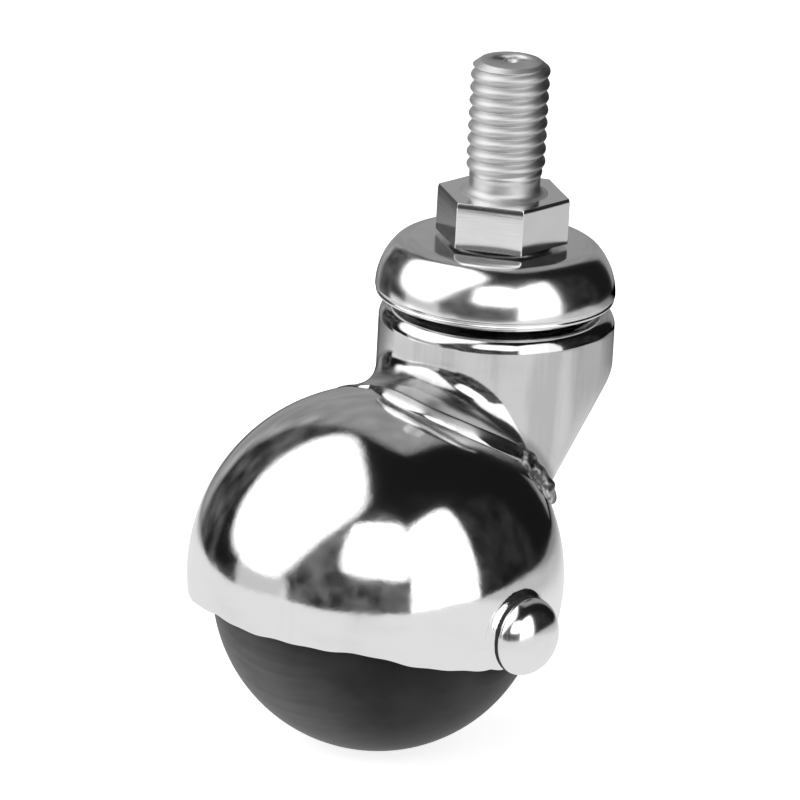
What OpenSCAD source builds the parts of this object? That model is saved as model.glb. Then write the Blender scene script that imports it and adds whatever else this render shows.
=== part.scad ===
// Hooded swivel ball caster with a threaded stem.
// +Z is up. The origin is on the swivel axis, in the top face of the hexagon.
// The ball trails toward -X and its axle lies along Y.

/* [Threaded stem] */
// Major diameter of the stem thread
thread_d = 9.525; // [8:0.025:12]
// Length of the stem above the hexagon
stem_l = 16.2; // [10:0.1:40]
// Chamfer at the end of the stem
stem_chamfer = 1.1; // [0.4:0.1:1.6]
// Diameter of the plain neck under the thread
relief_d = 8.5; // [7:0.1:9.4]
// Length of the plain neck under the thread
relief_l = 2.8; // [1.5:0.1:6]
// Radius of the fillet between the plain neck and the hexagon
root_fillet = 0.9; // [0.3:0.1:1.2]
// Depth of the turning centre in the end of the stem
centre_depth = 0.8; // [0.3:0.1:1.5]

/* [Hexagon] */
// Width of the hexagon across its flats
hex_af = 14; // [12:0.1:18]
// Height of the hexagon
hex_h = 6; // [4:0.1:10]
// Turn of the hexagon about the swivel axis
hex_turn = -2; // [-30:1:30]
// Height of the corner chamfer on the hexagon
hex_chamfer = 0.3; // [0.2:0.05:0.9]

/* [Swivel cap] */
// Outer diameter of the swivel cap
cap_d = 28.7; // [27.9:0.1:34]
// Width of the rounded edge of the cap, from the flat crown to the skirt
cap_round = 4.3; // [3.6:0.1:4.5]
// Height of the rounded edge of the cap
cap_drop = 6.2; // [5.2:0.1:7]
// Outer radius of the tighter curve next to the crown
crown_round = 3.2; // [2.4:0.1:3.4]
// Sheet thickness of the swivel cap
cap_t = 1.3; // [0.8:0.1:1.6]
// Radius of the rolled hem at the lower edge
hem_r = 0.7; // [0.5:0.05:1]

/* [Ball races] */
// Diameter of the bearing balls
race_ball_d = 3.175; // [2.4:0.005:3.4]
// Pitch diameter of the upper ring of balls
upper_pitch_d = 15.8; // [14.8:0.1:16.4]
// Number of balls in the upper ring
upper_count = 14; // [8:1:14]
// Pitch diameter of the lower ring of balls
lower_pitch_d = 13.4; // [13:0.1:14.4]
// Number of balls in the lower ring
lower_count = 12; // [6:1:12]
// Depth to which each ball sits in a raceway
race_depth = 0.35; // [0.15:0.05:0.6]
// Thickness of the lower race washer
lower_race_t = 1.8; // [1.4:0.1:3]
// Outer diameter of the lower race washer
lower_race_d = 17.6; // [17.2:0.1:18.6]

/* [Kingpin] */
// Diameter of the kingpin below the hexagon
kingpin_d = 8; // [6:0.1:8.4]
// Diameter of the peened head of the kingpin
peen_d = 11.2; // [9.6:0.1:14]
// Height of the peened head
peen_h = 1.5; // [0.8:0.1:2.5]

/* [Horn] */
// Outer diameter of the horn wall
horn_d = 28.2; // [27:0.1:31]
// Sheet thickness of the horn
horn_t = 1.3; // [0.9:0.1:1.6]
// Radius of the shoulder at the top of the horn wall
shoulder_r = 2.1; // [1.8:0.1:2.5]
// Height of the shoulder below the hem of the cap
shoulder_gap = 1; // [0.6:0.1:2]
// Radius of the round at the top of the race collar
collar_r = 2; // [1.7:0.1:2.4]
// Drop from the shoulder to where the back wall starts to slope
knee_drop = 6.9; // [5:0.1:9]
// Slope of the back wall from upright
back_slope = 40.8; // [36:0.1:44]
// Radius of the sloping back wall
back_r = 15; // [14.6:0.1:16.5]
// Diameter of the saddle flange that is welded to the hood
flange_d = 24.6; // [23:0.1:27]
// Distance of the flange centre ahead of the swivel axis
flange_lead = 8.4; // [7:0.1:10]
// Thickness of the flange
flange_t = 1.1; // [0.8:0.1:1.6]

/* [Hood] */
// Outer radius of the hood
hood_r = 22.4; // [21.9:0.1:24]
// Sheet thickness of the hood
hood_t = 1.2; // [0.8:0.1:1.3]
// Height of the hood centre above the axle
hood_rise = 1.7; // [1.2:0.05:3]
// Distance of the hood centre ahead of the axle
hood_lead = 0.6; // [0:0.1:1.2]
// Depth of the rim below the axle at its lowest point
rim_dip = 4.1; // [3.8:0.05:7]
// Radius of the sweep of the rim, seen along the axle
rim_sweep_r = 58; // [40:1:120]
// Diameter of the flat boss that is pressed out round each end of the axle
boss_d = 10; // [9.8:0.1:12]
// Stand of the boss face beyond the widest point of the hood
boss_stand = 0.1; // [0.05:0.05:0.4]

/* [Ball wheel] */
// Diameter of the ball
ball_d = 39.5; // [37.6:0.1:40]
// Distance of the axle ahead of the swivel axis
trail = 19; // [17:0.1:21]
// Depth of the axle below the top of the hexagon
axle_drop = 45.3; // [44:0.1:50]
// Width of the ball over its two hub faces
hub_w = 37; // [34:0.1:37.2]
// Outer diameter of the bush in the ball
bush_d = 7.4; // [6.6:0.1:12]

/* [Axle] */
// Diameter of the axle
axle_d = 5; // [4:0.1:5.6]
// Diameter of the domed axle caps
dome_d = 9.6; // [8.6:0.1:12]
// Height of the domed axle caps
dome_h = 4.3; // [3.6:0.1:4.8]
// Depth to which the axle enters each cap
dome_socket = 2.4; // [1.2:0.1:2.6]
// Outer diameter of the thrust collars between the ball and the hood
collar_d = 7.4; // [6.6:0.1:7.4]

/* [Clearances] */
// Gap between the kingpin and the bore of the horn, on the radius
kingpin_play = 0.05; // [0.02:0.01:0.1]
// Gap between the axle and the bush, on the radius
axle_play = 0.05; // [0.02:0.01:0.1]
// Gap between each bearing ball and its raceway
race_play = 0.02; // [0.01:0.01:0.04]
// Gap between the thrust collars and the faces beside them
collar_play = 0.05; // [0.02:0.01:0.15]
// Gap between the collar of the horn and the skirt of the cap
collar_gap = 1.3; // [0.6:0.1:2.4]

/* [Hidden] */
$fn = 96;
// Overlap of a cutting shape past the face that it cuts
cut = 1;

// Stem and hexagon
hex_r = hex_af / 2 / cos(30);
thread_l = stem_l - relief_l;
chamfer_rise = stem_chamfer * 0.8;

// Swivel cap, from its crown down to its hem
crown_z = -hex_h;
cap_turn_r = cap_d / 2 - cap_round;
skirt_z = crown_z - cap_drop;
// Radius of the wider curve, which touches the tighter one and runs upright into the skirt
side_round = (cap_round * cap_round + cap_drop * (cap_drop - 2 * crown_round)) / (2 * (cap_round - crown_round));
meet_angle = atan2(cap_drop - crown_round, side_round - cap_round);
hem_z = skirt_z - hem_r;

// Upper race, top plate of the horn, lower race and kingpin head, from the cap down
ball_r = race_ball_d / 2;
groove_r = ball_r + race_play;
stack = race_ball_d + 2 * race_play - 2 * race_depth;
plate_top = crown_z - cap_t - stack;
upper_z = plate_top + stack / 2;
plate_base = plate_top - horn_t;
lower_top = plate_base - stack;
lower_z = plate_base - stack / 2;
lower_base = lower_top - lower_race_t;

// Horn
horn_r = horn_d / 2;
collar_out = cap_d / 2 - cap_t - collar_gap;
shoulder_z = hem_z - shoulder_gap;
wall_top = shoulder_z - shoulder_r;
knee_z = wall_top - knee_drop;

// Ball, axle and hood
ball_x = -trail;
ball_z = -axle_drop;
hood_x = ball_x - hood_lead;
hood_z = ball_z + hood_rise;
hood_in = hood_r - hood_t;
// Outer face of the boss on the hood, and the pocket behind it
boss_y = hood_r + boss_stand;
pocket_y = boss_y - hood_t;
pocket_r = boss_d / 2 - hood_t;
axle_half = boss_y + dome_socket;

// Front edge of the horn wall where the saddle flange runs out beside it
flange_end = (flange_d * flange_d / 4 - horn_r * horn_r - flange_lead * flange_lead) / (2 * flange_lead);

function numbered(stem_name, count) =
    [for (i = [1 : count]) str(stem_name, i < 10 ? "0" : "", i)];

UPPER_BALLS = numbered("upper_race_ball_", upper_count);
LOWER_BALLS = numbered("lower_race_ball_", lower_count);

// One quarter of a flat ring, right and up from its centre
module quarter_band(r_out, t) {
    difference() {
        intersection() {
            circle(r = r_out);
            square(r_out);
        }
        circle(r = r_out - t);
    }
}

// Part of a flat ring, from one angle to another about its centre
module arc_band(r_out, t, from, to) {
    reach = 2 * r_out;
    intersection() {
        difference() {
            circle(r = r_out);
            circle(r = r_out - t);
        }
        polygon([[0, 0], [reach * cos(from), reach * sin(from)], [reach * cos(to), reach * sin(to)]]);
    }
}

// Ring-shaped groove in which bearing balls run
module raceway(pitch_d, z) {
    rotate_extrude() translate([pitch_d / 2, z]) circle(r = groove_r);
}

module race_ball(i, count, pitch_d, z) {
    rotate([0, 0, 360 * (i + 0.5) / count]) translate([pitch_d / 2, 0, z]) sphere(r = ball_r);
}

// Ring along the swivel axis, from one height to another
module washer_ring(r_out, r_in, z_low, z_high) {
    difference() {
        translate([0, 0, z_low]) cylinder(h = z_high - z_low, r = r_out);
        translate([0, 0, z_low - cut]) cylinder(h = z_high - z_low + 2 * cut, r = r_in);
    }
}

// Ring along the axle, from one distance to another, on the side that faces -Y when side is -1
module axle_ring(r_out, r_in, y_low, y_high, side) {
    translate([ball_x, 0, ball_z]) rotate([-90 * side, 0, 0]) washer_ring(r_out, r_in, y_low, y_high);
}

// Round bar along the whole axle
module axle_bar(r, half) {
    translate([ball_x, 0, ball_z]) rotate([90, 0, 0]) cylinder(h = 2 * half, r = r, center = true);
}

// Threaded stud, hexagon and kingpin, turned from one bar, with the kingpin peened over the lower race
module stem() {
    color("gainsboro") difference() {
        union() {
            intersection() {
                translate([0, 0, crown_z]) rotate([0, 0, hex_turn]) cylinder(h = hex_h, r = hex_r, $fn = 6);
                rotate_extrude() polygon([
                    [0, crown_z], [hex_af / 2, crown_z], [hex_r, crown_z + hex_chamfer],
                    [hex_r, -hex_chamfer], [hex_af / 2, 0], [0, 0]
                ]);
            }
            cylinder(h = relief_l, r = relief_d / 2);
            rotate_extrude() difference() {
                square([relief_d / 2 + root_fillet, root_fillet]);
                translate([relief_d / 2 + root_fillet, root_fillet]) circle(r = root_fillet);
            }
            translate([0, 0, relief_l]) cylinder(h = thread_l - chamfer_rise, r = thread_d / 2);
            translate([0, 0, stem_l - chamfer_rise])
                cylinder(h = chamfer_rise, r1 = thread_d / 2, r2 = thread_d / 2 - stem_chamfer);
            translate([0, 0, lower_base]) cylinder(h = crown_z - lower_base, r = kingpin_d / 2);
            translate([0, 0, lower_base - peen_h])
                cylinder(h = peen_h, r1 = kingpin_d / 2, r2 = peen_d / 2);
        }
        translate([0, 0, stem_l - centre_depth])
            cylinder(h = centre_depth + cut, r1 = 0, r2 = centre_depth + cut);
    }
}

// Pressed cup over the upper balls, with a rolled hem
module swivel_cap() {
    color("silver") difference() {
        rotate_extrude() union() {
            translate([kingpin_d / 2, crown_z - cap_t]) square([cap_turn_r - kingpin_d / 2, cap_t]);
            translate([cap_turn_r, crown_z - crown_round]) arc_band(crown_round, cap_t, meet_angle, 90);
            translate([cap_d / 2 - side_round, skirt_z]) arc_band(side_round, cap_t, 0, meet_angle);
            translate([cap_d / 2 - hem_r, skirt_z]) intersection() {
                circle(r = hem_r);
                translate([hem_r - cap_t, -hem_r]) square([cap_t, hem_r]);
            }
        }
        raceway(upper_pitch_d, upper_z);
    }
}

// Outline of the horn in plan, swept down the swivel axis and cut by the sloping back wall
module horn_bulk(inset) {
    intersection() {
        translate([0, 0, hood_z]) cylinder(h = wall_top - hood_z, r = horn_r - inset);
        translate([horn_r - back_r / cos(back_slope), 0, knee_z]) rotate([0, back_slope, 0])
            cylinder(h = 2 * axle_drop, r = back_r - inset, center = true);
    }
}

// Top of the horn: race plate, collar and shoulder, as one bent sheet
module horn_top() {
    plate_edge = collar_out - collar_r;
    bore_r = kingpin_d / 2 + kingpin_play;
    difference() {
        rotate_extrude() union() {
            translate([bore_r, plate_base]) square([plate_edge - bore_r, horn_t]);
            translate([plate_edge, plate_top - collar_r]) quarter_band(collar_r, horn_t);
            translate([collar_out - horn_t, shoulder_z - horn_t])
                square([horn_t, plate_top - collar_r - shoulder_z + horn_t]);
            translate([collar_out - horn_t, shoulder_z - horn_t])
                square([horn_r - shoulder_r - collar_out + horn_t, horn_t]);
            translate([horn_r - shoulder_r, wall_top]) quarter_band(shoulder_r, horn_t);
        }
        raceway(upper_pitch_d, upper_z);
        raceway(lower_pitch_d, lower_z);
    }
}

// Drawn steel horn from the swivel down to the hood, with the saddle flange at its foot
module horn() {
    color("silver") union() {
        horn_top();
        difference() {
            union() {
                horn_bulk(0);
                intersection() {
                    translate([hood_x, 0, hood_z]) sphere(r = hood_r + flange_t);
                    translate([-flange_lead, 0, hood_z])
                        cylinder(h = hood_r + 2 * flange_t, r = flange_d / 2);
                    translate([flange_end - flange_d, -flange_d, hood_z])
                        cube([flange_d, 2 * flange_d, 2 * hood_r]);
                }
            }
            horn_bulk(horn_t);
            translate([hood_x, 0, hood_z]) sphere(r = hood_r);
        }
    }
}

// Hardened washer under the lower balls, carried by the kingpin
module lower_race() {
    color("gray") difference() {
        washer_ring(lower_race_d / 2, kingpin_d / 2, lower_base, lower_top);
        raceway(lower_pitch_d, lower_z);
    }
}

// Pressed steel hood over the upper half of the ball, with a flat boss at each end of the axle
module hood() {
    color("silver") difference() {
        intersection() {
            union() {
                translate([hood_x, 0, hood_z]) sphere(r = hood_r);
                axle_bar(boss_d / 2, boss_y);
            }
            translate([ball_x, 0, ball_z - rim_dip + rim_sweep_r]) rotate([90, 0, 0])
                cylinder(h = 2 * hood_r + cut, r = rim_sweep_r, center = true, $fn = 240);
        }
        translate([hood_x, 0, hood_z]) sphere(r = hood_in);
        axle_bar(pocket_r, pocket_y);
        axle_bar(axle_d / 2, hood_r + cut);
    }
}

// Moulded ball with a flat hub face on each side
module ball_wheel() {
    color("dimgray") translate([ball_x, 0, ball_z]) rotate([90, 0, 0]) rotate_extrude() intersection() {
        circle(r = ball_d / 2);
        translate([bush_d / 2, -hub_w / 2]) square([ball_d, hub_w]);
    }
}

// Steel bush pressed into the ball
module wheel_bush() {
    color("darkgray") axle_ring(bush_d / 2, axle_d / 2 + axle_play, -hub_w / 2, hub_w / 2, 1);
}

// Straight axle pin through the hood and the ball
module axle() {
    color("darkgray") axle_bar(axle_d / 2, axle_half);
}

// Domed cap pressed on the end of the axle
module axle_cap(side) {
    color("silver") translate([ball_x, side * boss_y, ball_z]) rotate([-90 * side, 0, 0]) difference() {
        dome_r = (dome_h * dome_h + dome_d * dome_d / 4) / (2 * dome_h);
        intersection() {
            translate([0, 0, dome_h - dome_r]) sphere(r = dome_r);
            cylinder(h = dome_h, r = dome_d / 2);
        }
        translate([0, 0, -cut]) cylinder(h = dome_socket + cut, r = axle_d / 2);
    }
}

// Collar on the axle that keeps the ball off the hood
module thrust_collar(side) {
    color("darkgray")
        axle_ring(collar_d / 2, axle_d / 2, hub_w / 2 + collar_play, pocket_y - collar_play, side);
}

stem();
swivel_cap();
for (i = [0 : upper_count - 1])
    color("darkgray") race_ball(i, upper_count, upper_pitch_d, upper_z);
horn();
for (i = [0 : lower_count - 1])
    color("darkgray") race_ball(i, lower_count, lower_pitch_d, lower_z);
lower_race();
hood();
ball_wheel();
wheel_bush();
axle();
axle_cap(-1);  // axle_cap_left
axle_cap(1);  // axle_cap_right
thrust_collar(-1);  // thrust_collar_left
thrust_collar(1);  // thrust_collar_right
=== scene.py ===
"""Hooded swivel ball caster with a threaded stem: the finished look of every piece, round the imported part."""

import math

import bmesh
import bpy
import numpy as np
from mathutils import Matrix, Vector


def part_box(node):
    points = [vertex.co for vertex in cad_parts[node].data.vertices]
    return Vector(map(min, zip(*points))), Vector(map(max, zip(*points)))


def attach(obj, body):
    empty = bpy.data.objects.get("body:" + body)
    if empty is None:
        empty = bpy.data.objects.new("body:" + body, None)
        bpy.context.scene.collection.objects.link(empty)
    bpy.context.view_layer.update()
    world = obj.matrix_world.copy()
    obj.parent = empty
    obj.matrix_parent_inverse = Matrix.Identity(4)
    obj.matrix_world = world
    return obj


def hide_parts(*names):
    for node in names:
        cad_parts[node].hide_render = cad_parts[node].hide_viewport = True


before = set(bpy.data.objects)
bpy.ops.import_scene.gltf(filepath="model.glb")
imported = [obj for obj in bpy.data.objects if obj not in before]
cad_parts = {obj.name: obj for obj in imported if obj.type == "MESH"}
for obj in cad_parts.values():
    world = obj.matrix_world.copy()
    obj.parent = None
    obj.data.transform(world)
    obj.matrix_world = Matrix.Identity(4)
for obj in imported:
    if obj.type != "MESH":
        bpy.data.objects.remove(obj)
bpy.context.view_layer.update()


# ---------------------------------------------------------------- stud, hexagon and kingpin
# The stud, its hexagon and the kingpin below are turned from one bar of free-cutting steel.
# The thread is rolled, so its crests are round and its roots are narrow, and it runs out into a plain neck.
# All of it is zinc plated: a bright satin with fine turning rings.

mm = 0.001


class Wire:
    """A value, colour or shader on its way through a node tree. Arithmetic on wires adds Math nodes."""

    def __init__(self, tree, socket=None):
        self.tree = tree
        self.socket = socket

    def node(self, kind, settings=None, out=0, **inputs):
        """Adds one node: its settings first, then the value or wire of each socket, named with _ for a space,
        or numbered as in n0. The stops of a ramp are pairs of a place and a grey."""
        made = self.tree.nodes.new("ShaderNode" + kind)
        for name, value in (settings or {}).items():
            if name == "stops":
                for _ in range(len(value) - 2):
                    made.color_ramp.elements.new(0.5)
                for stop, (place, grey) in zip(made.color_ramp.elements, value):
                    stop.position = place
                    stop.color = (grey, grey, grey, 1)
            else:
                setattr(made, name, value)
        for name, value in inputs.items():
            socket = made.inputs[int(name[1:]) if name[1:].isdigit() else name.replace("_", " ")]
            if isinstance(value, Wire):
                self.tree.links.new(value.socket, socket)
            else:
                socket.default_value = value
        return Wire(self.tree, made.outputs[out])

    def math(self, operation, a, b=0.0):
        return self.node("Math", {"operation": operation}, n0=a, n1=b)

    def __add__(self, other):
        return self.math("ADD", self, other)

    def __radd__(self, other):
        return self.math("ADD", other, self)

    def __sub__(self, other):
        return self.math("SUBTRACT", self, other)

    def __rsub__(self, other):
        return self.math("SUBTRACT", other, self)

    def __mul__(self, other):
        return self.math("MULTIPLY", self, other)

    def __rmul__(self, other):
        return self.math("MULTIPLY", other, self)

    def rise(self, low, high):
        """Goes smoothly from 0 at low to 1 at high."""
        return self.node(
            "MapRange", {"interpolation_type": "SMOOTHSTEP"}, n0=self, n1=low, n2=high, n3=0.0, n4=1.0
        )

    def noise(self, scale, detail=3.0, stretch=(1.0, 1.0, 1.0)):
        """Noise over a place, with so many cells to the metre, drawn out along an axis of small stretch."""
        spread = self.node("Mapping", n0=self, n3=stretch)
        return self.node("TexNoise", n0=spread, Scale=scale, Detail=detail)

    def between(self, dark, light):
        """The colour at this share of the way from one colour to another."""
        return self.node("Mix", {"data_type": "RGBA"}, out=2, n0=self, n6=(*dark, 1), n7=(*light, 1))


def new_finish(name, **constants):
    """A material with one Principled shader. Returns it, its shader and a wire with Object coordinates."""
    material = bpy.data.materials.new(name)
    material.use_nodes = True
    shader = material.node_tree.nodes["Principled BSDF"]
    for socket, value in constants.items():
        shader.inputs[socket.replace("_", " ")].default_value = value
    return material, shader, Wire(material.node_tree).node("TexCoord", out=3)


def feed(shader, **wires):
    """Links each wire to the shader's socket of that name."""
    for socket, wire in wires.items():
        wire.tree.links.new(wire.socket, shader.inputs[socket.replace("_", " ")])


def zinc_plate(name, bright, satin, marks):
    """Bright zinc on turned steel: satin, faintly clouded, with rings from the lathe round the swivel axis.
    The neck under the thread is smoother, and painted shade darkens the plate in patches down one side."""
    material, shader, place = new_finish(name, Metallic=1.0)
    cloud = place.noise(240, detail=4.0)
    rings = place.noise(1500, detail=2.0, stretch=(0.15, 0.15, 2.0))
    grain = place.noise(3600, detail=2.0)
    height = place.node("SeparateXYZ", out=2, n0=place)
    neck = height.rise(0.0008, 0.0013) * (1 - height.rise(0.0022, 0.0032))
    side = place.node("VectorMath", {"operation": "DOT_PRODUCT"}, out=1, n0=place, n1=(0.8, -0.6, 0.0))
    # Painted shade: the stud darkens in patches down one side, above the hexagon.
    patchy_tone = height.rise(0.0, 0.001) * side.rise(0.0016, 0.0042) * cloud.rise(0.25, 0.55)
    feed(
        shader,
        Base_Color=(0.12 * cloud + 0.7 * patchy_tone).between((bright,) * 3, (0.1, 0.1, 0.1)),
        Roughness=satin + 0.08 * cloud - 0.12 * neck,
        Normal=place.node("Bump", Strength=marks, Distance=0.00005, Height=0.6 * rings + 0.4 * grain),
    )
    return material


def skin(name, grid, loop=False):
    """A mesh of quads over a grid of points in millimetres, of shape (rows, columns, 3), whose columns close
    into a ring, and whose rows do so too where loop is true. A row that shrinks to a point becomes one
    vertex."""
    rows, columns = grid.shape[:2]
    index = np.arange(rows * columns).reshape(rows, columns)
    upper = index if loop else index[:-1]
    lower = np.roll(index, -1, axis=0)[: len(upper)]
    quads = np.stack([upper, np.roll(upper, -1, axis=1), np.roll(lower, -1, axis=1), lower], axis=-1)
    mesh = bpy.data.meshes.new(name)
    mesh.from_pydata(grid.reshape(-1, 3) * mm, [], quads.reshape(-1, 4).tolist())
    work = bmesh.new()
    work.from_mesh(mesh)
    bmesh.ops.remove_doubles(work, verts=work.verts, dist=0.0005 * mm)
    bmesh.ops.recalc_face_normals(work, faces=work.faces)
    work.to_mesh(mesh)
    work.free()
    mesh.shade_smooth()
    piece = bpy.data.objects.new(name, mesh)
    bpy.context.scene.collection.objects.link(piece)
    return piece


def dress(piece, material, slot, body, *nodes):
    """Gives a piece its material, the body that it rides on and the CAD nodes that it stands for. The slot is
    not used.
    """
    piece.data.materials.clear()
    piece.data.materials.append(material)
    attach(piece, body)
    if nodes:
        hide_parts(*nodes)
    return piece


def ease(value, low, high):
    """Goes smoothly from 0 at low to 1 at high."""
    share = np.clip((value - low) / (high - low), 0, 1)
    return share * share * (3 - 2 * share)


def arc(centre, radius, start, end, count=12):
    """Points on a circle in the plane of radius and height, from one angle to another in degrees."""
    turn = np.radians(np.linspace(start, end, count))
    return np.stack([centre[0] + radius * np.cos(turn), centre[1] + radius * np.sin(turn)], axis=-1)


def outline(*parts):
    """Points and arcs of (radius, height) joined into one outline."""
    return np.concatenate([np.asarray(part, float).reshape(-1, 2) for part in parts])


def turned(profile, columns=192):
    """The profile, rows of (radius, height), carried round the swivel axis: (r cos t, r sin t, z)."""
    turn = np.linspace(0, 2 * np.pi, columns, endpoint=False)
    radius, height = profile[:, 0, None], profile[:, 1, None]
    return np.stack([radius * np.cos(turn), radius * np.sin(turn), height + 0 * turn], axis=-1)


stem_low, stem_high = (np.array(corner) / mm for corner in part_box("stem"))
thread_r = 4.7625
thread_pitch = 1.5875
thread_depth = 0.6
root_round = 0.08
tip_chamfer = 1.05
tip_hole_r = 1.0
neck_r = 4.25
neck_top = 2.8
neck_fillet = 1.0
hexagon_flat = 14.0
hexagon_height = 6.0
hexagon_turn = -2.0
washer_r = 6.2
washer_height = 0.42
kingpin_r = 4.0
kingpin_top = -5.9
peen_r = 5.6
peen_round = 0.5


def thread_grid(columns=144, rows=300):
    """A right-hand thread: radius = crest - depth * groove(z / pitch - t / 2 pi), whose groove is 1 - |cos|
    with a softened root. A ramp fades the thread out at the neck, a cone limits it at the tip, and a small
    hole from the lathe's centre is in the end."""
    tip = stem_high[2]
    runout = neck_top - 1.0
    height = np.linspace(runout, tip, rows)[:, None]
    turn = np.linspace(0, 2 * np.pi, columns, endpoint=False)[None, :]
    phase = np.pi * (height / thread_pitch - turn / (2 * np.pi) + 0.35)
    groove = 1 + root_round - np.sqrt(np.cos(phase) ** 2 + root_round**2)
    radius = thread_r - thread_depth * groove
    radius = neck_r + (radius - neck_r) * ease(height, runout, neck_top + 0.9)
    cone = thread_r - tip_chamfer + (tip - height) * 1.25
    radius = np.minimum(radius, cone)
    ring = np.stack([radius * np.cos(turn), radius * np.sin(turn), height + 0 * turn], axis=-1)
    fillet_middle = (neck_r + neck_fillet, neck_fillet)
    foot = outline(
        [(0, -0.3), (neck_r + neck_fillet, -0.3)], arc(fillet_middle, neck_fillet, 270, 180), [(neck_r, 1.5)]
    )
    end = outline(
        [(3.62, tip), (tip_hole_r, tip - 0.02)], arc((tip_hole_r, tip - 0.3), 0.28, 80, 160, 5),
        [(0.3, tip - 0.75), (0, tip - 0.8)],
    )
    return np.concatenate([turned(foot, columns), ring, turned(end, columns)])


def hexagon_grid(columns=1080):
    """A hexagon with crisp corners: radius = half the width over flats / (sum of cos^400 over the six
    faces)^(1/400). Its faces lean in a little at the top edge, and it stands on a low round washer face."""
    turn = np.linspace(0, 2 * np.pi, columns, endpoint=False)[None, :]
    faces = np.radians(hexagon_turn + 30 + 60 * np.arange(6))[:, None]
    lobes = np.clip(np.cos(turn - faces), 0, 1) ** 400
    corner = hexagon_flat / 2 / lobes.sum(axis=0)[None, :] ** (1 / 400)
    base = hexagon_height - washer_height
    depth = np.array([0, 0.01, 0.03, 0.25, 0.5, 0.7, 1.5, 3, 4.5, base - 0.1, base - 0.01, base, base])
    inset = np.array([0.17, 0.14, 0.12, 0.06, 0.01, 0, 0, 0, 0, 0, 0, 0, 0.3])[:, None]
    radius = corner - inset
    side = np.stack([radius * np.cos(turn), radius * np.sin(turn), -depth[:, None] + 0 * turn], axis=-1)
    top = np.array([0.0, 0.6, 0.98])[:, None, None] * side[0] * (1, 1, 0)
    washer = outline(
        [(washer_r + 0.1, -base), (washer_r, -base - 0.05)],
        [(washer_r, -hexagon_height), (3.0, -hexagon_height), (0, -hexagon_height)],
    )
    return np.concatenate([top, side, turned(washer, columns)])


def kingpin_profile():
    """A plain pin with its lower end peened over into a low round head, from the middle of its top round to
    the middle of its foot."""
    foot = stem_low[2]
    return outline(
        [(0, kingpin_top), (kingpin_r, kingpin_top), (kingpin_r, foot + 1.5), (peen_r - 0.45, foot + 1.45)],
        arc((peen_r - peen_round, foot + 0.95), peen_round, 90, -50, 10),
        [(4.2, foot + 0.12), (2.4, foot), (0, foot)],
    )


rolled_zinc = zinc_plate("rolled_zinc", bright=0.72, satin=0.45, marks=0.3)
flat_zinc = zinc_plate("flat_zinc", bright=0.96, satin=0.1, marks=0.1)
dress(skin("threaded_stud", thread_grid()), rolled_zinc, "zinc_plate", "root", "stem")
dress(skin("stud_hexagon", hexagon_grid()), flat_zinc, "zinc_plate", "root", "stem")
dress(skin("kingpin", turned(kingpin_profile())), rolled_zinc, "zinc_plate", "root", "stem")


# ---------------------------------------------------------------- swivel cap
# A steel cup pressed over the upper ring of balls and held under the hexagon. Its skirt curls in to a fine
# bead, and stands 0.4 mm off the middle. It is polished and chrome plated, as the horn, the hood and the axle
# caps are.


def chrome_plate(
    name, bright=0.9, satin=0.07, dull_r=0.0, dull_centre=(0.0, 0.0, 0.0), shade=0.9, streaks=0.1
):
    """Polished chrome: almost a mirror, with a faint orange peel from the steel under it, and thin smears and
    upright streaks. About dull_r from a centre the polishing wheel could not reach, and it is only satin, and
    its colour is darker by this shade: painted shade in the crease between the horn's flange and the hood."""
    material, shader, place = new_finish(name, Metallic=1.0)
    peel = place.noise(420, detail=2.0)
    grain = place.noise(2300, detail=3.0)
    smear = place.noise(120, detail=5.0, stretch=(1.0, 1.0, 2.5)).rise(0.45, 0.75)
    drawn = place.noise(260, detail=5.0, stretch=(1.0, 1.0, 0.16)).rise(0.46, 0.7)
    away = place.node("VectorMath", {"operation": "DISTANCE"}, out=1, n0=place, n1=dull_centre)
    dull_and_shaded = away.rise(dull_r - 0.0009, dull_r - 0.0002) * (1 - away.rise(dull_r, dull_r + 0.0014))
    feed(
        shader,
        Base_Color=(0.1 * smear + streaks * drawn + shade * dull_and_shaded).between((bright,) * 3, (bright / 2,) * 3),
        Roughness=satin + 0.05 * smear + 0.2 * dull_and_shaded,
        Normal=place.node("Bump", Strength=0.25, Distance=0.00006, Height=0.8 * peel + 0.2 * grain),
    )
    return material


cap_low, cap_high = (np.array(corner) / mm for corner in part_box("swivel_cap"))
cap_r = cap_high[0]
cap_sheet = 1.3
cap_width = 4.3
cap_drop = 6.2
crown_r = 3.2
hem_groove_r = 0.28
hem_bead_r = 0.31
cap_shift = (-0.25, 0.29, 0)
race_ball_r = 3.175 / 2 + 0.02
race_height = 1.2575
upper_race_r = 7.9
lower_race_r = 6.7


def race_groove(pitch_r, centre_z, face_z):
    """The arc of the groove in which the balls run, where a circle about their middle cuts a flat face, from
    its inner edge outwards."""
    reach = math.degrees(math.acos((face_z - centre_z) / race_ball_r))
    return arc((pitch_r, centre_z), race_ball_r, 90 + reach, 90 - reach, 9)


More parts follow.
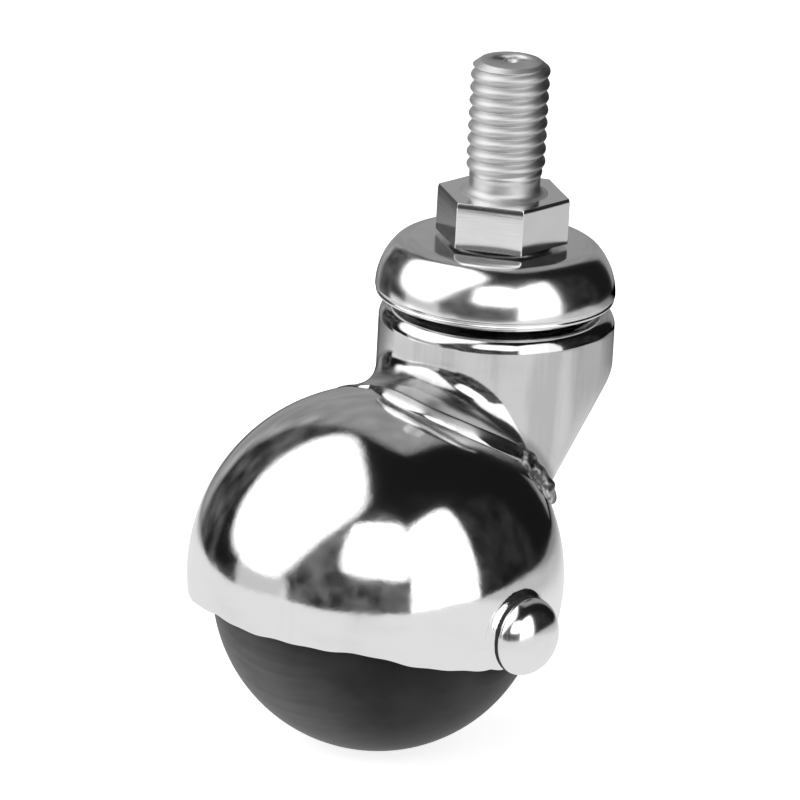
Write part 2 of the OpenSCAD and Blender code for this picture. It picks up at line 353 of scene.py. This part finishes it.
def cap_profile():
    """From the bore over the flat crown, round a tight arc and a wider one that meets it in a common tangent,
    down to the skirt, in to a groove and a bead, and back up inside the sheet. A circle that touches the
    crown's arc and the upright skirt has radius (w^2 + d (d - 2 r)) / (2 (w - r))."""
    crown, hem = cap_high[2], cap_low[2]
    skirt = crown - cap_drop
    under_crown = crown - cap_sheet
    side_r = (cap_width**2 + cap_drop * (cap_drop - 2 * crown_r)) / (2 * (cap_width - crown_r))
    meet = math.degrees(math.atan2(cap_drop - crown_r, side_r - cap_width))
    crown_middle, side_middle = (cap_r - cap_width, crown - crown_r), (cap_r - side_r, skirt)
    outer = outline(
        [(kingpin_r, crown), (7.5, crown)],
        arc(crown_middle, crown_r, 90, meet, 26),
        arc(side_middle, side_r, meet - 1.5, 1, 26),
        arc((cap_r - 0.36, skirt + 0.12), hem_groove_r, 10, -48, 6),
        arc((cap_r - 0.42, hem + hem_bead_r), hem_bead_r, 48, -90, 12),
    )
    inner = outline(
        arc((cap_r - cap_sheet + 0.4, hem + 0.3), 0.3, 250, 180, 4), [(cap_r - cap_sheet, skirt)],
        arc(side_middle, side_r - cap_sheet, 2, meet, 12),
        arc(crown_middle, crown_r - cap_sheet, meet, 90, 8),
        race_groove(upper_race_r, under_crown - race_height, under_crown)[::-1], [(kingpin_r, under_crown)],
    )
    return outline(outer, inner)


def cap_grid():
    """The profile carried round, with its skirt shifted: place + shift * a smooth step of the radius, so that
    the groove for the balls stays true."""
    grid = turned(cap_profile(), 256)
    return grid + ease(np.hypot(grid[..., :1], grid[..., 1:2]), 9.5, 12) * cap_shift


satin_chrome = chrome_plate("satin_chrome", satin=0.16)
dress(skin("pressed_cap", cap_grid(), loop=True), satin_chrome, "chrome_plate", "root", "swivel_cap")


# ---------------------------------------------------------------- horn
# The horn is drawn from steel sheet: a race plate and collar inside the cap, a round shoulder, and a wall
# that is round in front and slopes forward behind. Its foot turns out into a saddle flange, welded to the
# hood.

hood_low, hood_high = (np.array(corner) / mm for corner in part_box("hood"))
hood_r = 22.4
hood_centre = np.array([hood_low[0] + hood_r, 0, hood_high[2] - hood_r])
horn_r = 14.1
horn_sheet = 1.3
shoulder_r = 2.1
shoulder_top = cap_low[2] - 1.0
wall_top = shoulder_top - shoulder_r
knee_z = wall_top - 6.9
plate_top = cap_high[2] - cap_sheet - 2 * race_height
plate_bore_r = 4.05
plate_bend = 2.0
collar_r = 11.75
collar_fillet = 0.3
back_slope = math.radians(40.8)
back_r = 15.0
flange_r = 9.9
flange_x = -11.0
flange_y = -3.2
flange_sheet = 1.1


def wall_radius(turn, height, inset=0.0):
    """How far the wall is from the swivel axis: a circle, and below the knee a cylinder of back_r that slopes
    forward, which is an ellipse at each height, found from a r^2 + 2 b r + c = 0. A smooth minimum of the two
    rounds the ridge between them."""
    drop = (height - knee_z) * math.tan(back_slope)
    middle = horn_r - back_r / math.cos(back_slope) + drop
    lean = math.cos(back_slope) ** 2
    a = np.cos(turn) ** 2 * lean + np.sin(turn) ** 2
    b = -np.cos(turn) * middle * lean
    c = middle**2 * lean - (back_r - inset) ** 2
    back = (-b + np.sqrt(np.maximum(b * b - a * c, 0))) / a
    front = horn_r - inset
    blend = np.clip(0.5 + (back - front) / 1.3, 0, 1)
    return back + (front - back) * blend - 0.65 * blend * (1 - blend)


def on_hood(turn, radius, stand):
    """The height of the hood's upper side, or of a skin that stands off it, over a place in plan."""
    across = (radius * np.cos(turn) - hood_centre[0]) ** 2 + (radius * np.sin(turn)) ** 2
    return hood_centre[2] + np.sqrt(np.maximum((hood_r + stand) ** 2 - across, 0))


def wall_foot(turn, stand, inset=0.0):
    """The height at which the wall reaches a skin round the hood, found by halving the span forty times."""
    low = np.full_like(turn, hood_centre[2])
    high = np.full_like(turn, wall_top)
    for _ in range(40):
        half = (low + high) / 2
        radius = wall_radius(turn, half, inset)
        away = (radius * np.cos(turn) - hood_centre[0]) ** 2 + (radius * np.sin(turn)) ** 2
        inside = away + (half - hood_centre[2]) ** 2 < (hood_r + stand) ** 2
        low, high = np.where(inside, half, low), np.where(inside, high, half)
    return (low + high) / 2


def curve(start, control, end, count):
    """Rows along a quadratic Bezier curve between (radius, height) rows, without its first point."""
    t = np.linspace(0, 1, count + 1)[1:, None, None]
    return (1 - t) ** 2 * start + 2 * t * (1 - t) * control + t * t * end


def horn_grid(columns=480):
    """The sheet as one closed loop of rows: plate, collar, shoulder, wall, concave foot, flange and its edge
    face, which sinks into the hood, and then back up the inside. The flange is a circle in plan, set a little
    to one side of the ball's track, and on the far side it is a narrow flare, hammered flat. Its reach beyond
    the wall is a smooth maximum of the two, and what changes round the horn does so by smooth steps of the
    heading in degrees. The edge face bends at a tight corner, where it falls by log(1 + exp(way beyond it)),
    and so goes down to the hood in a plane bevel."""
    turn = np.linspace(0, 2 * np.pi, columns, endpoint=False)
    degrees = np.degrees(turn)
    under_plate = plate_top - horn_sheet
    inner_bend = shoulder_r - horn_sheet
    bend_middle = (collar_r - plate_bend, plate_top - plate_bend)
    shoulder_middle = (horn_r - shoulder_r, wall_top)
    plate = outline(
        [(plate_bore_r, under_plate), (plate_bore_r, plate_top)],
        race_groove(upper_race_r, plate_top + race_height, plate_top),
        arc(bend_middle, plate_bend, 90, 0, 12), [(collar_r, shoulder_top + collar_fillet)],
        arc((collar_r + collar_fillet, shoulder_top + collar_fillet), collar_fillet, 190, 260, 5),
        arc(shoulder_middle, shoulder_r, 87, 0, 22),
    )
    under = outline(
        arc(shoulder_middle, inner_bend, 0, 90, 5), [(collar_r - horn_sheet, wall_top + inner_bend)],
        arc(bend_middle, plate_bend - horn_sheet, 0, 90, 5),
        race_groove(lower_race_r, under_plate - race_height, under_plate)[::-1],
    )
    across = flange_x * np.sin(turn) - flange_y * np.cos(turn)
    plan = flange_x * np.cos(turn) + flange_y * np.sin(turn)
    plan = plan + np.sqrt(np.maximum(flange_r**2 - across**2, 0))
    reach = np.where(np.cos(turn) < 0, plan - wall_radius(turn, wall_foot(turn, 0.0)), -12)
    far_side = ease(degrees, 106, 130) - ease(degrees, 165, 190)
    flare = 5.4 * far_side
    reach = 0.5 * (reach + flare + np.sqrt((reach - flare) ** 2 + 0.3)) + 0.1
    near_side = ease(degrees, 163, 188) - ease(degrees, 270, 300)
    stand = flange_sheet * (0.13 + 0.87 * near_side) * (1 - np.exp(-reach / 0.9))
    rise = 0.5 + 3.9 * ease(degrees, 104, 132) - 1.7 * ease(degrees, 155, 180)
    rise = rise + 1.3 * ease(degrees, 182, 214) - 3.5 * ease(degrees, 222, 246)
    rise = np.minimum(rise, 0.6 + 0.9 * reach)
    width = np.minimum(3.4 + 1.6 * far_side, (0.5 + 0.4 * far_side) * reach)
    foot_z = wall_foot(turn, stand)
    share = np.linspace(0, 1, 60)[1:, None]
    wall_z = wall_top + (foot_z + rise - wall_top) * share
    wall = np.stack([wall_radius(turn, wall_z), wall_z], axis=-1)
    foot_r = wall_radius(turn, foot_z)
    knee = np.stack([foot_r, foot_z], axis=-1)
    edge_r = foot_r + reach

    def skin_row(radius, lift):
        return np.stack([radius, on_hood(turn, radius, lift)], axis=-1)

    concave = curve(wall[-1], knee, skin_row(foot_r + width, stand), 24)
    lip_r = edge_r - np.minimum(0.9 * stand, 0.42 * reach)
    flat = skin_row(foot_r + width + (lip_r - foot_r - width) * np.linspace(0, 1, 8)[1:, None], stand)
    way = np.linspace(0, 1, 24)[1:, None]
    corner, soft = 0.12, 0.06
    fall = soft * (np.logaddexp(0, (way - corner) / soft) - np.logaddexp(0, -corner / soft)) / 0.87
    brow = skin_row(lip_r + (edge_r - lip_r) * way, stand * (1 - 0.9 * fall) - 0.2 * way**16)
    tuck = skin_row(foot_r, -0.3)[None]
    inner_low = wall_foot(turn, -0.3, horn_sheet)
    inner_z = inner_low + (wall_top - inner_low) * np.linspace(0, 1, 10)[:-1, None]
    inner = np.stack([wall_radius(turn, inner_z, horn_sheet), inner_z], axis=-1)
    section = np.concatenate([
        np.repeat(plate[:, None], columns, axis=1), wall, concave, flat, brow, tuck, inner,
        np.repeat(under[:, None], columns, axis=1),
    ])
    radius, height = section[..., 0], section[..., 1]
    return np.stack([radius * np.cos(turn), radius * np.sin(turn), height], axis=-1)


# Where the horn's flange lies on the hood it is satin, and darkened by painted shade.
horn_chrome = chrome_plate(
    "horn_chrome", bright=0.72, satin=0.09, dull_r=(hood_r + flange_sheet) * mm,
    dull_centre=tuple(hood_centre * mm), streaks=0.4,
)
dress(skin("drawn_horn", horn_grid(), loop=True), horn_chrome, "chrome_plate", "housing", "horn")


# ---------------------------------------------------------------- welds
# On each side, where the flange ends, a short run of weld joins the wall to the hood. It is lumpy, only
# brushed over before the plating, and so dull and uneven.

weld_height = 1.25
weld_width = 1.7
lump = 0.08


def brushed_weld():
    """Plate over a rough weld: pitted, cloudy and only half bright."""
    material, shader, place = new_finish("weld_plate", Metallic=1.0)
    scale = place.noise(700, detail=5.0)
    feed(
        shader,
        Base_Color=scale.rise(0.38, 0.66).between((0.1, 0.1, 0.1), (0.65, 0.65, 0.65)),
        Roughness=0.22 + 0.3 * scale,
        Normal=place.node("Bump", Strength=1.0, Distance=0.0004, Height=scale),
    )
    return material


def weld_grid(start, end, rows=90, columns=40):
    """A flat bead along the foot of the wall from one heading to another: an ellipse about the foot line,
    whose size is sqrt(sin) of the way along, with waves along and around it for the lumps."""
    share = np.linspace(0, 1, rows)
    turn = np.radians(start + (end - start) * share)
    foot_z = wall_foot(turn, 0.0)
    foot_r = wall_radius(turn, foot_z)
    line = np.stack([foot_r * np.cos(turn), foot_r * np.sin(turn), foot_z], axis=-1)
    along = np.gradient(line, axis=0)
    along = along / np.linalg.norm(along, axis=1)[:, None]
    out = line - hood_centre
    out = out - (out * along).sum(axis=1)[:, None] * along
    out = out / np.linalg.norm(out, axis=1)[:, None]
    aside = np.cross(along, out)
    around = np.linspace(0, 2 * np.pi, columns, endpoint=False)[None, :]
    way = share[:, None]
    lumps = 1 + lump * np.sin(52 * way + 2 * np.sin(2 * around)) + lump * np.sin(3 * around + 23 * way)
    radius = (0.02 + np.sqrt(np.sin(np.pi * way))) * lumps
    ring = weld_height * np.cos(around)[..., None] * out[:, None]
    ring = ring + weld_width * np.sin(around)[..., None] * aside[:, None]
    grid = line[:, None] + radius[..., None] * ring
    ends = grid[[0, -1]].mean(axis=1)[:, None] + np.zeros((2, columns, 3))
    return np.concatenate([ends[:1], grid, ends[1:]])


weld = brushed_weld()
dress(skin("weld_near", weld_grid(220, 266)), weld, "chrome_plate", "housing")
dress(skin("weld_far", weld_grid(133, 94)), weld, "chrome_plate", "housing")


# ---------------------------------------------------------------- hood
# Half a hollow ball of steel sheet, pressed and trimmed by hand, so its rim wavers a little. Round each end
# of the axle a flat boss is pressed out for the axle cap to sit on.

ball_low, ball_high = (np.array(corner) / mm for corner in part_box("ball_wheel"))
ball_centre = (ball_low + ball_high) / 2
ball_r = (ball_high[2] - ball_low[2]) / 2
hood_sheet = 1.2
boss_r = 4.9
rim_at_axle = -3.9
rim_lift = 3.7
rim_half_width = 15.2


def hood_shell(radius, rows, lift, columns=480):
    """Rows from the pole to the rim of a ball: centre + radius * (sin u cos v, sin u sin v, cos u). Away from
    the axle the rim lifts by 1 - exp(-|x / half width|^2.5). It wavers a little, and is found by halving the
    span. Near the axle the surface moves out to a flat face, by a smooth step of the distance from it."""
    around = np.linspace(0, 2 * np.pi, columns, endpoint=False)
    wave = 0.14 * np.sin(7 * around + 0.4) + 0.1 * np.sin(13 * around + 2.0) + 0.06 * np.sin(29 * around)
    low, high = np.full_like(around, 1.2), np.full_like(around, 2.4)
    for _ in range(40):
        half = (low + high) / 2
        x = hood_centre[0] + radius * np.sin(half) * np.cos(around) - ball_centre[0]
        lifted = rim_lift * (1 - np.exp(-np.abs(x / rim_half_width) ** 2.5))
        rim_z = ball_centre[2] + rim_at_axle + lifted + wave
        inside = hood_centre[2] + radius * np.cos(half) > rim_z
        low, high = np.where(inside, half, low), np.where(inside, high, half)
    down = (low + high) / 2 * np.linspace(0, 1, rows)[:, None]
    x = hood_centre[0] + radius * np.sin(down) * np.cos(around)
    y = radius * np.sin(down) * np.sin(around)
    z = hood_centre[2] + radius * np.cos(down)
    from_axle = np.hypot(x - ball_centre[0], z - ball_centre[2])
    press = ease(-from_axle, -boss_r - 0.35, 0.25 - boss_r) * (np.abs(y) > radius / 2)
    y = y + press * (np.sign(y) * (hood_high[1] + lift) - y)
    return np.stack([x, y, z], axis=-1)


def hood_grid():
    """The outer shell from its pole to the rim, a rounded edge, and the inner shell back to its own pole."""
    outer = hood_shell(hood_r, 150, 0.0)
    inner = hood_shell(hood_r - hood_sheet, 50, -hood_sheet)
    along = np.array([0.12, 0.3, 0.5, 0.7, 0.88])[:, None, None]
    dip = 0.25 * np.sin(np.pi * along) * (0, 0, 1)
    edge = outer[-1] + (inner[-1] - outer[-1]) * along - dip
    return np.concatenate([outer, edge, inner[::-1]])


# Round the edge of the horn's flange the hood is satin, and a little darkened by painted shade.
hood_chrome = chrome_plate(
    "hood_chrome", satin=0.09, dull_r=(flange_r + 0.9) * mm,
    dull_centre=(flange_x * mm, flange_y * mm, -26.5 * mm), shade=0.2,
)
dress(skin("pressed_hood", hood_grid()), hood_chrome, "chrome_plate", "housing", "hood")


# ---------------------------------------------------------------- ball
# A solid ball moulded in hard rubber, with a flat hub face on each side and a steel bush through it. It is
# satin charcoal, and rolling has drawn faint streaks over it.

bush_r = 3.7
hub_round = 0.5


def ball_rubber():
    """Charcoal rubber with faint streaks from side to side, a fine grain, a faint bloom, and a painted sheen
    of lighter grey low on one side."""
    charcoal, sheen_grey = (0.017, 0.017, 0.0175), (0.15, 0.15, 0.152)
    material, shader, place = new_finish("ball_rubber", Specular_IOR_Level=0.14)
    streak = place.noise(900, detail=3.0, stretch=(1.0, 0.04, 1.0))
    bloom = place.noise(90, detail=4.0)
    grain = place.noise(5200, detail=2.0)
    middle = place.node("VectorMath", {"operation": "SUBTRACT"}, n0=place, n1=tuple(ball_centre * mm))
    low_side = middle.node(
        "VectorMath", {"operation": "DOT_PRODUCT"}, out=1, n0=middle, n1=(-0.66, 0.31, -0.68)
    )
    # Painted sheen: the colour goes lighter grey on the low side towards the left, in place of glancing light.
    painted_shading = low_side.rise(0.55 * ball_r * mm, ball_r * mm) * (0.4 + 0.8 * streak)
    feed(
        shader,
        Base_Color=(0.25 * bloom.rise(0.3, 0.75) + painted_shading).between(charcoal, sheen_grey),
        Roughness=0.36 + 0.1 * bloom + 0.05 * streak,
        Normal=place.node("Bump", Strength=0.25, Distance=0.00003, Height=0.5 * streak + 0.5 * grain),
    )
    return material


def about_axle(profile, columns=256):
    """The profile, rows of (radius, distance along the axle), carried round the axle of the ball."""
    turn = np.linspace(0, 2 * np.pi, columns, endpoint=False)
    radius, along = profile[:, 0, None], profile[:, 1, None]
    return ball_centre + np.stack([radius * np.cos(turn), along + 0 * turn, radius * np.sin(turn)], axis=-1)


def ball_profile():
    """A ball cut flat at both hubs, with the edges of the flats a little rounded, and the bore through it."""
    hub = (ball_high[1] - ball_low[1]) / 2
    rise = math.degrees(math.asin(hub / ball_r)) - 1.2
    face_r = ball_r * math.cos(math.radians(rise + 1.2)) - hub_round
    return outline(
        [(bush_r, -hub), (face_r, -hub)], arc((0, 0), ball_r, -rise, rise, 140),
        [(face_r, hub), (bush_r, hub)],
    )


ball = skin("rubber_ball", about_axle(ball_profile()), loop=True)
dress(ball, ball_rubber(), "ball_rubber", "wheel", "ball_wheel")


# ---------------------------------------------------------------- axle caps
# A domed cap is pressed on each end of the axle and stands on the boss of the hood. Its lower edge is turned
# under, and a fine near-black ring round its foot is painted shade in the seam.

dome_r = 4.75
dome_height = 3.45
dome_edge = 0.4
dome_foot_r = 4.25


def dome_profile():
    """A dome that is steep at its side, (r / dome radius)^2.2 + (h / dome height)^2.2 = 1, so r and h go as
    cos^0.91 and sin^0.91. Under it is a short turned edge whose foot is drawn in. It runs from the middle of
    the dome to that of its base."""
    turn = np.radians(np.linspace(90, 6, 48))
    dome = np.stack(
        [dome_r * np.cos(turn) ** 0.91, dome_edge + dome_height * np.sin(turn) ** 0.91], axis=-1
    )
    dome[0, 0] = 0
    return outline(dome, arc((4.43, 0.66), 0.3, 20, -60, 8), [(dome_foot_r, 0.34), (dome_foot_r, 0), (0, 0)])


def seam_profile():
    """A flat ring close under the dome's edge."""
    return np.array([(4.15, 0.05), (4.15, 0.3), (4.62, 0.3), (4.68, 0.05)])


def painted_seam_shade():
    """Painted shade: a nearly black, faintly mottled finish for the ring in the seam under the dome."""
    material, shader, place = new_finish("seam_painted_shade")
    painted_shading = place.noise(900, detail=3.0)
    feed(shader, Base_Color=painted_shading.between((0.008,) * 3, (0.05,) * 3), Roughness=0.5 + 0.3 * painted_shading)
    return material


seam_shade = painted_seam_shade()
for side, end_name in ((-1, "left"), (1, "right")):
    cap_node = "axle_cap_" + end_name
    foot_y = min(abs(corner[1]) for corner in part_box(cap_node)) / mm
    dome = about_axle((dome_profile() + (0, foot_y)) * (1, side), 128)
    dress(skin("axle_dome_" + end_name, dome), satin_chrome, "chrome_plate", "housing", cap_node)
    # A thin ring of painted shade sits in the seam under each dome.
    seam = about_axle((seam_profile() + (0, foot_y)) * (1, side), 128)
    dress(skin("dome_seam_" + end_name, seam, loop=True), seam_shade, "plain_steel", "housing")


# ---------------------------------------------------------------- races, bush and axle inside
# The bearing balls are hardened and ground bright. The lower race washer, the bush, the thrust collars and
# the axle are plain turned steel, dull with oil. All of them keep their shapes from the CAD.


def turned_steel():
    """Plain turned steel: grey, with an oily, uneven dullness and fine scratches."""
    material, shader, place = new_finish("plain_steel", Metallic=1.0)
    oil = place.noise(180, detail=4.0)
    scratch = place.noise(2600, detail=2.0, stretch=(0.2, 0.2, 1.6))
    feed(
        shader,
        Base_Color=oil.rise(0.3, 0.7).between((0.4, 0.4, 0.41), (0.55, 0.55, 0.55)),
        Roughness=0.26 + 0.2 * oil,
        Normal=place.node("Bump", Strength=0.3, Distance=0.00003, Height=scratch),
    )
    return material


def ground_steel():
    """Ground and polished bearing steel."""
    material, shader, place = new_finish("bearing_ball", Metallic=1.0)
    patchy_tone = place.noise(700, detail=3.0)
    feed(
        shader,
        Base_Color=patchy_tone.between((0.68, 0.68, 0.69), (0.8, 0.8, 0.8)),
        Roughness=0.08 + 0.1 * patchy_tone,
    )
    return material


steel, ground = turned_steel(), ground_steel()
for name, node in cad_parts.items():
    if node.hide_render:
        continue
    node.data.materials.clear()
    node.data.materials.append(ground if "race_ball" in name else steel)


# ---------------------------------------------------------------- floor and studio
# A plain pale table that ends a little way off, in a dark room with three soft boxes: a large one on the
# left, one over the camera and one on the right. Two pale cards stand low on the left, and the walls are
# grey.

camera_azimuth = math.radians(-49.3)
camera_elevation = math.radians(18.3)
right = np.array([math.cos(camera_azimuth), math.sin(camera_azimuth), 0])
toward = np.array([math.sin(camera_azimuth), -math.cos(camera_azimuth), 0])


def heading(azimuth, elevation):
    """The direction at an angle round from the camera, to its right, and an angle over the horizon."""
    a, e = math.radians(azimuth), math.radians(elevation)
    return math.cos(e) * (math.cos(a) * toward + math.sin(a) * right) + math.sin(e) * np.array([0, 0, 1])


def panel(ray, corners, soft):
    """A mask that is 1 in a panel seen from the object, with its corners as headings in order, and 0 outside.
    Each edge is a plane through the object, and the sum of exp(-distance / soft) over the edges, which is 1
    on an edge and more near a corner, gives soft edges and round corners."""
    over = 0.0
    directions = [heading(*corner) for corner in corners]
    middle = sum(directions)
    for start, end in zip(directions, directions[1:] + directions[:1]):
        normal = np.cross(end, start)
        normal = normal / np.linalg.norm(normal) * np.sign(normal @ middle) / -soft
        side = ray.node("VectorMath", {"operation": "DOT_PRODUCT"}, out=1, n0=ray, n1=tuple(normal))
        over = side.math("EXPONENT", side) + over
    return 1 - over.rise(0.4, 2.0)


world = bpy.data.worlds.new("studio")
bpy.context.scene.world = world
world.use_nodes = True
tree = world.node_tree
tree.nodes.clear()
ray = Wire(tree).node("TexCoord", out=0)
left_box = panel(ray, [(-106, 3), (-58, 4), (-10, 58), (-155, 62)], 0.1)
front_box = panel(ray, [(-23, 17), (21, 13), (24, 47), (-22, 47)], 0.055)
right_box = panel(ray, [(23, -14), (66, -14), (68, 49), (23, 45)], 0.05)
low_card = panel(ray, [(-92, -18), (-54, -18), (-54, 6), (-94, 4)], 0.05)
far_card = panel(ray, [(-118, -44), (-34, -44), (-34, -8), (-118, -9)], 0.04)
back_wall = panel(ray, [(-147, -24), (-156, 68), (84, 70), (147, 2), (150, -24)], 0.08)
side_wall = panel(ray, [(-158, -24), (-114, -24), (-132, 48), (-152, 54)], 0.08)
dim_wall = panel(ray, [(-64, -18), (24, -18), (24, 52), (-20, 56)], 0.08)
dark_wall = panel(ray, [(64, -18), (118, -18), (112, 32), (68, 44)], 0.08)
clutter = ray.noise(6, detail=4.0)
glow = 0.009 + 1.7 * left_box + 1.7 * front_box + 1.6 * right_box + 0.6 * low_card + 0.9 * far_card
patchy_walls = 0.17 * dim_wall + 0.13 * side_wall + 0.025 * dark_wall
glow = glow + (0.14 + 0.3 * clutter) * back_wall + patchy_walls * clutter.rise(0.3, 0.7)
light = glow.node("Background", n0=(1, 1, 1, 1), n1=glow)
white = glow.node("Background", n0=(1, 1, 1, 1), n1=1.0)
camera_ray = glow.node("LightPath", out=0)
seen = glow.node("MixShader", n0=camera_ray, n1=light, n2=white)
surface = tree.nodes.new("ShaderNodeOutputWorld")
tree.links.new(seen.socket, surface.inputs[0])


def table_top():
    """Matt white where light falls on it, and close to white where the camera sees it, so that only the
    shadow shows. What the metal mirrors is a long pale table that ends a little way off, along straight
    edges, with painted shade behind, to the right behind and in a strip to the left behind. Each edge and shade
    is a smooth step of the distance along one heading."""
    material = bpy.data.materials.new("pale_table")
    material.use_nodes = True
    tree = material.node_tree
    tree.nodes.clear()
    place = Wire(tree).node("TexCoord", out=3)

    def distance(azimuth):
        direction = tuple(heading(azimuth, 0))
        return place.node("VectorMath", {"operation": "DOT_PRODUCT"}, out=1, n0=place, n1=direction)

    long_way, short_way = distance(-110), distance(-20)
    behind, right_behind, left_behind = distance(180), distance(140), distance(-160)
    laid = (1 - long_way.rise(0.15, 0.185)) * (1 - short_way.math("ABSOLUTE", short_way).rise(0.22, 0.27))
    matt = place.node("BsdfDiffuse", n0=(0.75, 0.75, 0.75, 1))
    # Painted shade on the table as the metal mirrors it: duller behind, to the right behind and in a strip to
    # the left behind.
    shade_strip = left_behind.rise(0.1, 0.14) * (1 - 0.55 * left_behind.rise(0.165, 0.18))
    tone = 0.82 - 0.3 * behind.rise(0.07, 0.14) - 0.25 * right_behind.rise(0.045, 0.11) - 0.3 * shade_strip
    pale = place.node("Emission", n0=(1, 1, 1, 1), n1=tone)
    mirrored = place.node("MixShader", n0=laid, n1=place.node("BsdfTransparent"), n2=pale)
    bright = place.node("Emission", n0=(1, 1, 1, 1), n1=0.8)
    shown = place.node("AddShader", n0=matt, n1=bright)
    glossy = place.node("LightPath", out=3)
    camera = place.node("LightPath", out=0)
    lit = place.node("MixShader", n0=glossy, n1=matt, n2=mirrored)
    seen = place.node("MixShader", n0=camera, n1=lit, n2=shown)
    surface = tree.nodes.new("ShaderNodeOutputMaterial")
    tree.links.new(seen.socket, surface.inputs[0])
    return material


floor_z = ball_low[2]
floor_grid = turned(outline([(0, floor_z), (150, floor_z), (600, floor_z)]), 96)
floor = skin("table", floor_grid)
floor.data.materials.append(table_top())


# ---------------------------------------------------------------- camera
# A long lens from the front left of the ball, a little above it. The camera is rolled, so that the stem
# leans slightly to the right.

camera_roll = math.radians(3.1)
camera_distance = 1.2
field = 0.09501
sensor = 36
sight = math.cos(camera_elevation) * toward + math.sin(camera_elevation) * np.array([0, 0, 1])
up = np.cross(sight, right)
aim = (-10.99 * right - 25.45 * up) * mm
camera_data = bpy.data.cameras.new("camera")
camera_data.sensor_width = sensor
camera_data.lens = sensor * camera_distance / field
camera_data.clip_start = 0.1
camera_data.clip_end = 20
camera = bpy.data.objects.new("camera", camera_data)
bpy.context.scene.collection.objects.link(camera)
across = math.cos(camera_roll) * right + math.sin(camera_roll) * up
upward = -math.sin(camera_roll) * right + math.cos(camera_roll) * up
rows = np.eye(4)
rows[:3, 0], rows[:3, 1], rows[:3, 2] = across, upward, sight
rows[:3, 3] = aim + camera_distance * sight
camera.matrix_world = Matrix(rows.tolist())
bpy.context.scene.camera = camera
bpy.context.scene.view_settings.view_transform = "Standard"
